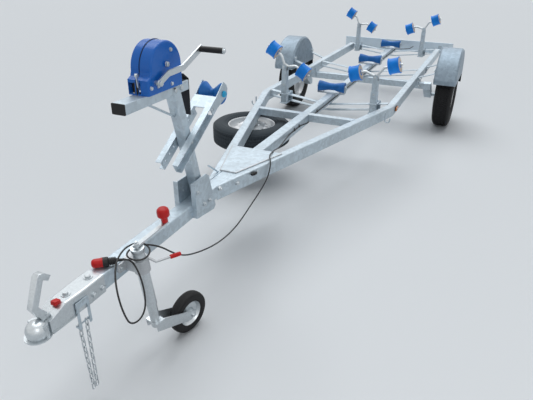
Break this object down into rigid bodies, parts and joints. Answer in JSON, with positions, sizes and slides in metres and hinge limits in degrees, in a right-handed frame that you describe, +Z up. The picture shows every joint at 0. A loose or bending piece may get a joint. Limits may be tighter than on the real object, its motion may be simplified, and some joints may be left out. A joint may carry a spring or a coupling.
{
  "type": "boat trailer",
  "caption": "Galvanised single-axle boat trailer with keel and rocker rollers, hand winch, bow stop, jockey wheel, spare wheel and light board.",
  "frame": {"origin": "on the ground, at the centre of the trailer's length and width", "axes": "+Y towards the tail lamps, +Z up, +X to the trailer's left side"},
  "size_m": [1.8, 5.94, 1.277],
  "materials": {
    "galvanised": "hot-dip galvanised, dull",
    "zinc_plate": "zinc plated",
    "cast_clamp": "cast, zinc plated",
    "wheel_steel": "silver paint",
    "road_tyre": "matt",
    "solid_rubber": "matt",
    "blue_roller": "satin",
    "blue_cover": "gloss",
    "black_plastic": "matt",
    "red_plastic": "gloss",
    "webbing": "woven",
    "white_board": "plain",
    "lamp_lens": "gloss",
    "cable_sheath": "matt"
  },
  "bodies": {
    "chassis": {"drawbar": "galvanised", "side_rails": "galvanised", "spine": "galvanised", "crossmembers": "galvanised", "gusset_plates": "galvanised", "coupling_head": "zinc_plate", "coupling_handle": "zinc_plate", "chain_bracket": "galvanised", "safety_chain": "zinc_plate", "drawbar_cheeks": "galvanised", "winch_post": "galvanised", "winch_beam": "galvanised", "end_caps": "black_plastic", "post_brace": "galvanised", "winch_cover": "blue_cover", "ratchet_lever": "zinc_plate", "winch_strap": "webbing", "bow_stop": "galvanised", "jockey_tube": "zinc_plate", "jockey_clamp": "cast_clamp", "jockey_grips": "red_plastic", "spare_tyre": "road_tyre", "spare_rim": "wheel_steel", "spare_carrier": "galvanised", "axle": "galvanised", "trailing_arms": "galvanised", "mudguards": "galvanised", "mudguard_stays": "galvanised", "keel_brackets": "galvanised", "roller_posts": "galvanised", "light_board": "white_board", "lamps": "lamp_lens", "plug": "black_plastic", "plug_cap": "red_plastic", "cable": "cable_sheath", "cable_run": "cable_sheath"},
    "wheel_left": {"tyre_left": "road_tyre", "rim_left": "wheel_steel"},
    "wheel_right": {"tyre_right": "road_tyre", "rim_right": "wheel_steel"},
    "jockey_leg": {"jockey_leg": "zinc_plate"},
    "jockey_fork": {"jockey_fork": "zinc_plate"},
    "jockey_wheel": {"jockey_tyre": "solid_rubber", "jockey_rim": "zinc_plate"},
    "crank": {"winch_crank": "zinc_plate", "crank_grip": "black_plastic"},
    "drum": {"winch_drum": "zinc_plate"},
    "bow_roller": {"bow_roller": "blue_roller"},
    "keel_roller_front": {"keel_roller_front": "blue_roller"},
    "keel_roller_middle": {"keel_roller_middle": "blue_roller"},
    "keel_roller_rear": {"keel_roller_rear": "blue_roller"},
    "rocker_front_left": {"rocker_front_left": "zinc_plate"},
    "rollers_front_left": {"rollers_front_left": "blue_roller"},
    "rocker_front_right": {"rocker_front_right": "zinc_plate"},
    "rollers_front_right": {"rollers_front_right": "blue_roller"},
    "rocker_rear_left": {"rocker_rear_left": "zinc_plate"},
    "rollers_rear_left": {"rollers_rear_left": "blue_roller"},
    "rocker_rear_right": {"rocker_rear_right": "zinc_plate"},
    "rollers_rear_right": {"rollers_rear_right": "blue_roller"}
  },
  "joints": [
    {"name": "wheel_left_spin", "type": "hinge", "parent": "chassis", "child": "wheel_left", "pos_m": [0.8, 1.4, 0.289], "axis": [1, 0, 0], "continuous": true},
    {"name": "wheel_right_spin", "type": "hinge", "parent": "chassis", "child": "wheel_right", "pos_m": [-0.8, 1.4, 0.289], "axis": [1, 0, 0], "continuous": true},
    {"name": "jockey_height", "type": "slide", "parent": "chassis", "child": "jockey_leg", "axis": [0, -0.1392, 0.9903], "range_m": [-0.09, 0.07]},
    {"name": "jockey_swivel", "type": "hinge", "parent": "jockey_leg", "child": "jockey_fork", "pos_m": [0.098, -2.448, 0.14083], "axis": [0, -0.1392, 0.9903], "continuous": true},
    {"name": "jockey_wheel_spin", "type": "hinge", "parent": "jockey_fork", "child": "jockey_wheel", "pos_m": [0.13459, -2.26848, 0.10042], "axis": [0.9781, -0.2059, -0.0289], "continuous": true},
    {"name": "crank_spin", "type": "hinge", "parent": "chassis", "child": "crank", "pos_m": [0, -2.232, 1.131], "axis": [1, 0, 0], "continuous": true},
    {"name": "drum_spin", "type": "hinge", "parent": "chassis", "child": "drum", "pos_m": [0, -2.16, 1.188], "axis": [1, 0, 0], "continuous": true},
    {"name": "bow_roller_spin", "type": "hinge", "parent": "chassis", "child": "bow_roller", "pos_m": [0, -1.73196, 0.96969], "axis": [1, 0, 0], "continuous": true},
    {"name": "keel_roller_front_spin", "type": "hinge", "parent": "chassis", "child": "keel_roller_front", "pos_m": [0, 0.20124, 0.562], "axis": [1, 0, 0], "continuous": true},
    {"name": "keel_roller_middle_spin", "type": "hinge", "parent": "chassis", "child": "keel_roller_middle", "pos_m": [0, 1.493, 0.562], "axis": [1, 0, 0], "continuous": true},
    {"name": "keel_roller_rear_spin", "type": "hinge", "parent": "chassis", "child": "keel_roller_rear", "pos_m": [0, 2.5, 0.562], "axis": [1, 0, 0], "continuous": true},
    {"name": "rocker_front_left_tilt", "type": "hinge", "parent": "chassis", "child": "rocker_front_left", "pos_m": [0.39, 0.04394, 0.714], "axis": [0, -1, 0], "range_deg": [-11, 24]},
    {"name": "rollers_front_left_spin", "type": "hinge", "parent": "rocker_front_left", "child": "rollers_front_left", "pos_m": [0.37456, 0.04394, 0.76783], "axis": [0.9613, 0, 0.2756], "continuous": true},
    {"name": "rocker_front_right_tilt", "type": "hinge", "parent": "chassis", "child": "rocker_front_right", "pos_m": [-0.357, 0.04394, 0.724], "axis": [0, 1, 0], "range_deg": [-26, 9]},
    {"name": "rollers_front_right_spin", "type": "hinge", "parent": "rocker_front_right", "child": "rollers_front_right", "pos_m": [-0.32816, 0.04394, 0.772], "axis": [0.8572, 0, -0.515], "continuous": true},
    {"name": "rocker_rear_left_tilt", "type": "hinge", "parent": "chassis", "child": "rocker_rear_left", "pos_m": [0.348, 2.5977, 0.736], "axis": [0, -1, 0], "range_deg": [-17, 18]},
    {"name": "rollers_rear_left_spin", "type": "hinge", "parent": "rocker_rear_left", "child": "rollers_rear_left", "pos_m": [0.32702, 2.5977, 0.78792], "axis": [0.9272, 0, 0.3746], "continuous": true},
    {"name": "rocker_rear_right_tilt", "type": "hinge", "parent": "chassis", "child": "rocker_rear_right", "pos_m": [-0.43, 2.5977, 0.744], "axis": [0, 1, 0], "range_deg": [-24, 11]},
    {"name": "rollers_rear_right_spin", "type": "hinge", "parent": "rocker_rear_right", "child": "rollers_rear_right", "pos_m": [-0.40285, 2.5977, 0.79298], "axis": [0.8746, 0, -0.4848], "continuous": true}
  ],
  "couplings": [
    {"joint": "drum_spin", "follows": "crank_spin", "ratio": -0.25}
  ]
}
